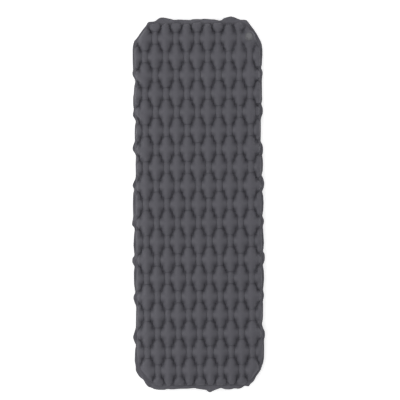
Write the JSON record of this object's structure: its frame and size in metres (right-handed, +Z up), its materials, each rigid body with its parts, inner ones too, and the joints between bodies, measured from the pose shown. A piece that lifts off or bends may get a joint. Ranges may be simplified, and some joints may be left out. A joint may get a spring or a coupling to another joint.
{
  "type": "inflatable sleeping pad",
  "caption": "Long flat air-filled camping mattress of two welded coated-fabric sheets with a diamond cell lattice, cut corners and a flat two-stage flip valve.",
  "frame": {"origin": "centre of the underside, on the ground", "axes": "+X to the valve's long side of the pad, +Y towards the head end (the end with the valve), +Z up, from the ground to the sleeping surface"},
  "size_m": [0.64, 1.83, 0.0664],
  "materials": {
    "top_fabric": "matte TPU-coated ripstop nylon",
    "bottom_fabric": "matte TPU-coated nylon",
    "valve_base": "satin moulded TPU",
    "valve_lid": "satin moulded",
    "tether": "soft matte",
    "seal_rubber": "silicone",
    "flap_rubber": "translucent silicone"
  },
  "bodies": {
    "pad": {"bottom_sheet": "bottom_fabric", "top_sheet": "top_fabric"},
    "valve": {"valve_base": "valve_base", "base_seal_ring": "seal_rubber"},
    "plug": {"deflate_plug": "valve_lid", "plug_tether": "tether", "flap_stud": "valve_lid"},
    "flap": {"check_flap": "flap_rubber"},
    "cap": {"inflation_cap": "valve_lid", "cap_seal_ring": "seal_rubber", "cap_tether": "tether"}
  },
  "joints": [
    {"name": "deflation", "type": "slide", "parent": "pad", "child": "valve", "axis": [0, 0, -1], "range_m": [0, 0.044], "stiffness_N_per_m": 400, "deforming": ["top_sheet", "bottom_sheet"]},
    {"name": "plug_hinge", "type": "hinge", "parent": "valve", "child": "plug", "pos_m": [0.27235, 0.83403, 0.0622], "axis": [-0.5835, 0.8121, 0], "range_deg": [0, 150]},
    {"name": "cap_hinge", "type": "hinge", "parent": "plug", "child": "cap", "pos_m": [0.24547, 0.81471, 0.0654], "axis": [0.5835, -0.8121, 0], "range_deg": [0, 150]},
    {"name": "flap_lift", "type": "slide", "parent": "plug", "child": "flap", "axis": [0, 0, -1], "range_m": [0, 0.0015], "stiffness_N_per_m": 20}
  ]
}
